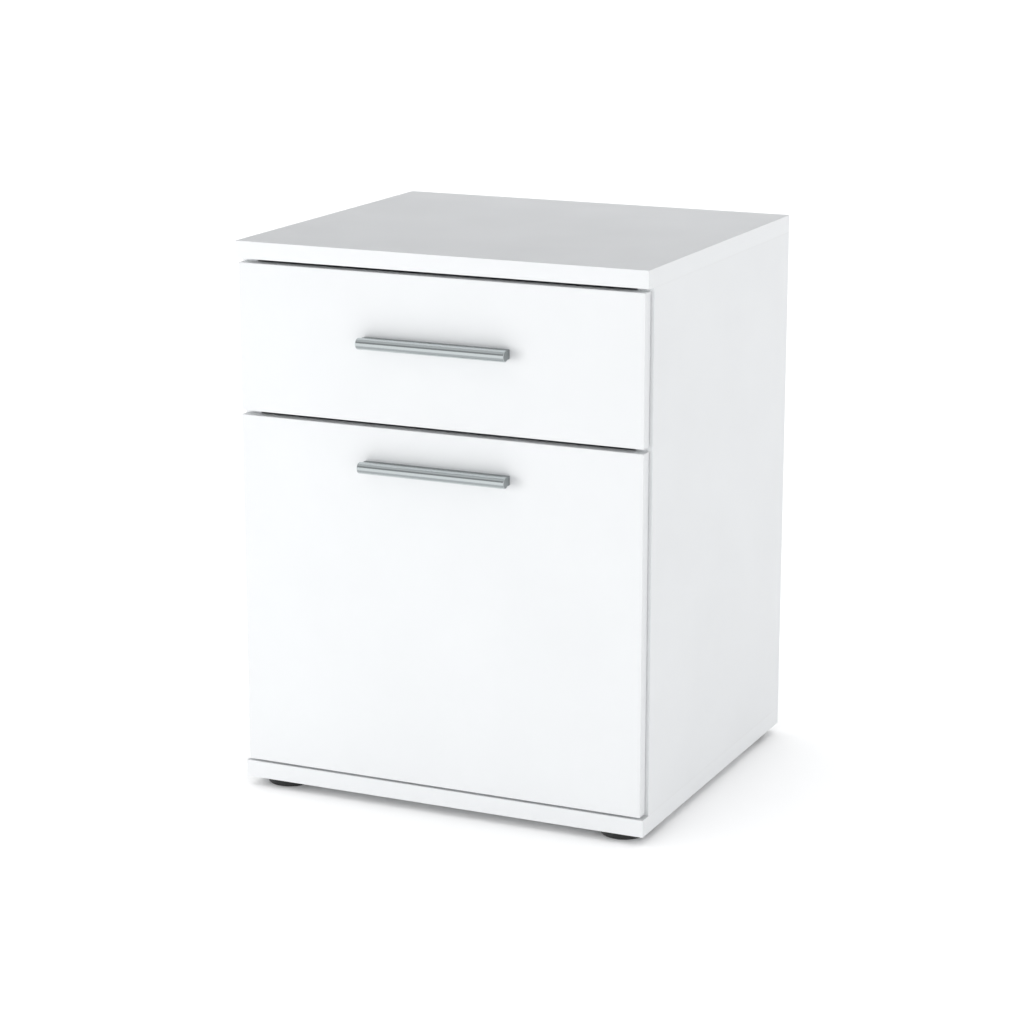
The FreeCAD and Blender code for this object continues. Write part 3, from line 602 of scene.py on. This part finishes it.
def edge_bands(node, faces, long_axis, slots, met):
    """Strips on the given narrow faces, listed as (axis, side). Those along long_axis run to the corners."""
    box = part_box(node)
    strips = []
    for axis, side in faces:
        low, high = box[0].copy(), box[1].copy()
        if side > 0:
            low[axis] = high[axis] - BAND_THICKNESS
        else:
            high[axis] = low[axis] + BAND_THICKNESS
        full_run = axis != long_axis
        end_axis = long_axis if full_run else next(a for a, _ in faces if a != long_axis)
        for end in (-1, 1):
            if full_run or (end_axis, end) not in faces:
                continue
            if end > 0:
                high[end_axis] -= BAND_THICKNESS
            else:
                low[end_axis] += BAND_THICKNESS
        share = band_share(axis, side, end_axis, full_run, met)
        strip = block("strip", (low, high), BAND_ROUNDING, share)
        for slot in slots:
            if overlaps((low, high), slot):
                combine(strip, slab(slot), "DIFFERENCE")
        strips.append(strip)
    return strips


def board(node, faces, long_axis, drilled, slots, met=0):
    """A board's core, drilled for the fasteners and cut by the slots, with edge bands on the listed faces."""
    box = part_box(node)
    low, high = box[0].copy(), box[1].copy()
    for axis, side in faces:
        if side > 0:
            high[axis] -= BAND_THICKNESS
        else:
            low[axis] += BAND_THICKNESS
    core = block(f"{node}_core", (low, high), BAND_ROUNDING, unrounded)
    core.data.materials.append(melamine(f"{node}_melamine", box))
    tools = [bore(item, island) for item in drilled for island in islands(item) if overlaps(box, island)]
    tools += [slab(slot) for slot in slots]
    bands = joined(f"{node}_edge_bands", edge_bands(node, faces, long_axis, slots, met))
    bands.data.materials.append(edge_band(f"{node}_band", box))
    tool = joined("tool", tools)
    tool.data.materials.append(RAW_CORE)
    combine(core, tool, "DIFFERENCE")
    for piece, finish in ((core, "white_melamine"), (bands, "white_edge_band")):
        smooth(piece, BOARD_SHARP_ANGLE)
        stand_for(piece, node, finish)


def all_round(first, second):
    """The four narrow faces of a board that spans the first and second axes."""
    return [(first, -1), (first, 1), (second, -1), (second, 1)]


def build_boards():
    back_low, back_high = grown(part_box("back_panel"), PANEL_PLAY)
    back_low.y += PANEL_PLAY
    back_high.y += OVERSHOOT
    rebate = (back_low, back_high)
    shared = ("carcass_dowels", "back_panel_nails")
    under = shared + ("bottom_confirmat_screws", "foot_screws")
    beside = shared + ("top_cam_locks", "top_cam_bolts", "bottom_confirmat_screws", "cabinet_rail_screws")
    board("top_panel", all_round(X, Y), X, shared + ("top_cam_bolts",), [rebate], met=-1)
    board("bottom_panel", all_round(X, Y), X, under, [rebate], met=1)
    for side in SIDES:
        board(f"{side}_side_panel", [(Y, -1), (Y, 1)], Z, beside, [rebate])
    for level in LEVELS:
        groove = grown(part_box(f"{level}_drawer_bottom"), PANEL_PLAY)
        drilled = (f"{level}_handle_screws", f"{level}_drawer_cam_bolts")
        board(f"{level}_drawer_front", all_round(X, Z), X, drilled, [groove])


# ---- handles and feet ----------------------------------------------------------------------------


def build_handle(level):
    """A round-nosed bar in front of a web that reaches the drawer front; the web and the bar's sawn ends take
    the blasted metal whose dark colour is painted shade.
    """
    node = f"{level}_handle"
    low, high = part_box(node)
    middle = (low.z + high.z) / 2
    start = Vector((low.x, low.y + HANDLE_BAR_RADIUS, middle))
    length = high.x - low.x
    inner = HANDLE_BAR_RADIUS - HANDLE_BAR_ROUNDING
    outline = [(0, 0), (0, inner * HANDLE_END_FLAT)]
    outline += arc((HANDLE_BAR_ROUNDING, inner), HANDLE_BAR_ROUNDING, start=180, end=90, steps=6)
    outline += arc((length - HANDLE_BAR_ROUNDING, inner), HANDLE_BAR_ROUNDING, start=90, end=0, steps=6)
    outline += [(length, inner * HANDLE_END_FLAT), (length, 0)]
    bar = turned(f"{level}_pull", outline, start, X, TURNED_STEPS, closed=False)
    web_low = Vector((low.x + HANDLE_WEB_INSET, start.y, middle - HANDLE_WEB_HEIGHT / 2))
    web_high = Vector((high.x - HANDLE_WEB_INSET, high.y, middle + HANDLE_WEB_HEIGHT / 2))
    web = block("web", (web_low, web_high), HANDLE_WEB_ROUNDING, lambda side: 1.0 if side[Y] >= 0 else 0.0)
    bar.data.materials.append(ALUMINIUM)
    # The web's dark blasted metal is painted shade, for the shade between the bar and the drawer front.
    web.data.materials.append(SHADED_CUT_ALUMINIUM)
    combine(bar, web, "UNION")
    # The sawn ends get the same dark metal: painted shade for the shade at the handle's ends.
    painted_shade_index = bar.data.materials.find(SHADED_CUT_ALUMINIUM.name)
    for face in bar.data.polygons:
        if abs(face.normal.x) > END_FACING:
            face.material_index = painted_shade_index
    smooth(bar, ROUND_SHARP_ANGLE)
    stand_for(bar, node, "satin_aluminium")


def build_foot(node):
    """A turned glide. Its outline goes from the screw's bore over the top, down the wall, under the sole."""
    low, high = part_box(node)
    centre = Vector(((low.x + high.x) / 2, (low.y + high.y) / 2, low.z))
    radius = (high.x - low.x) / 2
    height = high.z - low.z
    rim = FOOT_RIM_ROUNDING
    top = FOOT_TOP_ROUNDING
    lip = FOOT_RECESS_ROUNDING
    ring = radius - FOOT_SOLE_WIDTH
    outline = [(height, FOOT_BORE_RADIUS), (height, radius - rim)]
    outline += arc((height - top, radius - top), top, start=0, end=90, steps=4)
    outline += [
        (FOOT_SEAM_HEIGHT + FOOT_SEAM_DEPTH, radius),
        (FOOT_SEAM_HEIGHT, radius - FOOT_SEAM_DEPTH),
        (FOOT_SEAM_HEIGHT - FOOT_SEAM_DEPTH, radius),
    ]
    outline += arc((rim, radius - rim), rim, start=90, end=180, steps=6)
    step = FOOT_SOLE_STEP
    recess = FOOT_RECESS_RADIUS
    outline += [(0, ring), (step, ring - step), (step, recess + lip)]
    outline += arc((step + lip, recess + lip), lip, start=180, end=270, steps=3)
    outline += [(FOOT_RECESS_DEPTH, recess), (FOOT_RECESS_DEPTH, FOOT_BORE_RADIUS)]
    made = turned(f"{node}_glide", outline, centre, Z, TURNED_STEPS, closed=True)
    made.data.materials.append(BLACK_PLASTIC)
    smooth(made, ROUND_SHARP_ANGLE)
    stand_for(made, node, "black_plastic")


# ---- finishes of the CAD pieces that stay --------------------------------------------------------


def finish_of(node):
    """The finish for a CAD node that keeps its shape."""
    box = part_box(node)
    if node == "back_panel" or node.endswith("_drawer_bottom"):
        return painted_fibreboard(f"{node}_fibreboard", box)
    if node.endswith(("_left_side", "_right_side", "_drawer_back")):
        return melamine(f"{node}_melamine", box)
    if node.endswith("_cabinet_rail"):
        return enamelled_steel(f"{node}_enamel", box[0].z + RAIL_THICKNESS)
    if node.endswith("_drawer_rail"):
        return enamelled_steel(f"{node}_enamel", box[1].z - RAIL_THICKNESS)
    if node.endswith("_roller"):
        return ROLLER_NYLON
    if node.endswith("_cam_locks"):
        return CAST_ZINC
    if node.endswith("_dowels"):
        return BEECH
    if node.endswith("_bumpers"):
        return CLEAR_RUBBER
    return PLATED_ZINC


def finish_cad_nodes():
    for name, node in NODES.items():
        if node.hide_render:
            continue
        finish = finish_of(name)
        for material_slot in node.material_slots:
            material_slot.material = finish


# ---- studio --------------------------------------------------------------------------------------

VIEW_AZIMUTH = 24.57  # degrees to the cabinet's right
VIEW_ELEVATION = 14.13
VIEW_DISTANCE = 2.733
VIEW_LENS = 101.85
VIEW_AIM = Vector((-0.0039, -0.0018, -0.0115))  # from the middle of the cabinet
FAR_CLIP = 500.0
FLOOR_HALF_WIDTH = 40.0

SOFTBOXES = {  # azimuth and elevation in degrees, distance and size in metres, watts
    "key_softbox": (-30.0, 4.0, 2.2, 1.0, 11.5),
    "back_softbox": (165.0, 55.0, 1.6, 1.0, 4.1),
}
FLOOR_LIGHT_STRENGTH = 2.45
FLOOR_LIGHT_SPREAD = math.radians(140.0)
FLOOR_LIGHT_DISTANCE = 5.0
FLOOR_LIGHT_FROM = (-30.0, 75.0)  # azimuth and elevation in degrees
COOL_LIGHT = (0.993, 1.0, 1.014)
DOME = (  # sine of the elevation, brightness
    (-1.0, 0.68),
    (-0.56, 0.68),
    (-0.53, 1.06),
    (0.25, 1.06),
    (0.27, 0.345),
    (0.67, 0.345),
    (0.69, 0.65),
    (1.0, 0.65),
)


def direction(azimuth, elevation):
    """Unit vector that many degrees from straight ahead to the cabinet's right, and above the level."""
    azimuth, elevation = math.radians(azimuth), math.radians(elevation)
    flat = math.cos(elevation)
    return Vector((math.sin(azimuth) * flat, -math.cos(azimuth) * flat, math.sin(elevation)))


def add_camera(middle):
    camera = bpy.data.objects.new("camera", bpy.data.cameras.new("camera"))
    bpy.context.scene.collection.objects.link(camera)
    camera.data.lens = VIEW_LENS
    camera.data.clip_end = FAR_CLIP
    towards = direction(VIEW_AZIMUTH, VIEW_ELEVATION)
    camera.location = middle + VIEW_AIM + towards * VIEW_DISTANCE
    camera.rotation_euler = towards.to_track_quat("Z", "Y").to_euler()
    bpy.context.scene.camera = camera


def add_floor():
    bm = bmesh.new()
    bmesh.ops.create_grid(bm, x_segments=8, y_segments=8, size=FLOOR_HALF_WIDTH)
    floor = mesh_object("floor", bm)
    made = Finish("pale_floor", {"IOR": 1.4, "Specular IOR Level": 0.0})
    made.colour(made.blend(made.noise(6.0, detail=3.0), tone(0.90), tone(0.92)))
    made.roughness(made.spread(made.noise(40.0, detail=2.0), 0.3, 0.7, 0.8, 0.9))
    floor.data.materials.append(made.material)
    floor.visible_glossy = False
    return floor


def aimed(light, middle, towards, distance):
    light.location = middle + towards * distance
    light.rotation_euler = towards.to_track_quat("Z", "Y").to_euler()
    bpy.context.scene.collection.objects.link(light)


def link_to_floor(light, floor, state):
    """INCLUDE lights the floor alone, and EXCLUDE lights everything else."""
    receivers = bpy.data.collections.new(f"{light.name}_receivers")
    receivers.objects.link(floor)
    receivers.collection_objects[0].light_linking.link_state = state
    light.light_linking.receiver_collection = receivers


def add_softbox(name, middle, floor):
    """Soft light on the cabinet alone, left out of the floor's light and of reflections."""
    azimuth, elevation, distance, size, watts = SOFTBOXES[name]
    light = bpy.data.objects.new(name, bpy.data.lights.new(name, "AREA"))
    light.data.shape = "SQUARE"
    light.data.size = size
    light.data.energy = watts
    light.visible_glossy = False
    aimed(light, middle, direction(azimuth, elevation), distance)
    link_to_floor(light, floor, "EXCLUDE")


def add_floor_light(middle, floor):
    """Broad overhead light on the floor alone, which keeps it white round a softly lit cabinet."""
    light = bpy.data.objects.new("floor_light", bpy.data.lights.new("floor_light", "SUN"))
    light.data.energy = FLOOR_LIGHT_STRENGTH
    light.data.angle = FLOOR_LIGHT_SPREAD
    aimed(light, middle, direction(*FLOOR_LIGHT_FROM), FLOOR_LIGHT_DISTANCE)
    link_to_floor(light, floor, "INCLUDE")


def add_world():
    """Dome for the light and the reflections, by height from straight down to straight up: grey below, a
    bright band round the horizon, a darker band above it. Plain white to the camera."""
    world = bpy.data.worlds.new("studio")
    world.use_nodes = True
    bpy.context.scene.world = world
    tree = world.node_tree
    dome = tree.nodes["Background"]
    place = tree.nodes.new("ShaderNodeTexCoord")
    split = tree.nodes.new("ShaderNodeSeparateXYZ")
    ramp = tree.nodes.new("ShaderNodeValToRGB")
    height = tree.nodes.new("ShaderNodeMapRange")
    height.inputs["From Min"].default_value = -1.0
    tree.links.new(place.outputs["Generated"], split.inputs[0])
    tree.links.new(split.outputs["Z"], height.inputs["Value"])
    tree.links.new(height.outputs["Result"], ramp.inputs["Fac"])
    elements = ramp.color_ramp.elements
    while len(elements) < len(DOME):
        elements.new(0.5)
    for element, (rise, level) in zip(elements, DOME):
        element.position = (rise + 1) / 2
        element.color = tone(level, COOL_LIGHT)
    tree.links.new(ramp.outputs["Color"], dome.inputs["Color"])
    backdrop = tree.nodes.new("ShaderNodeBackground")
    backdrop.inputs["Color"].default_value = tone(1.0)
    seen = tree.nodes.new("ShaderNodeLightPath")
    choose = tree.nodes.new("ShaderNodeMixShader")
    tree.links.new(seen.outputs["Is Camera Ray"], choose.inputs["Fac"])
    tree.links.new(dome.outputs["Background"], choose.inputs[1])
    tree.links.new(backdrop.outputs["Background"], choose.inputs[2])
    tree.links.new(choose.outputs["Shader"], tree.nodes["World Output"].inputs["Surface"])


def build_studio():
    middle = box_centre(CAD_BOX)
    bpy.context.scene.view_settings.view_transform = "Standard"
    add_camera(middle)
    add_world()
    floor = add_floor()
    for name in SOFTBOXES:
        add_softbox(name, middle, floor)
    add_floor_light(middle, floor)


# ---- the whole scene -----------------------------------------------------------------------------

RAW_CORE = chipboard("raw_core")
ALUMINIUM = satin_aluminium("satin_anodised_aluminium")
# Dull blasted metal whose dark base colour is painted shade on the handles' web and sawn ends.
SHADED_CUT_ALUMINIUM = shaded_cut_aluminium("cut_aluminium_ends_painted_shade")
BLACK_PLASTIC = black_plastic("black_moulded_plastic")
ROLLER_NYLON = nylon("roller_nylon_finish")
PLATED_ZINC = zinc("plated_zinc", plated=True)
CAST_ZINC = zinc("frosted_cast_zinc", plated=False)
BEECH = beech("turned_beech")
CLEAR_RUBBER = clear_rubber("clear_soft_rubber")

build_boards()
for level in LEVELS:
    build_handle(level)
for corner in ("front_left", "front_right", "rear_left", "rear_right"):
    build_foot(f"{corner}_foot")
finish_cad_nodes()
build_studio()
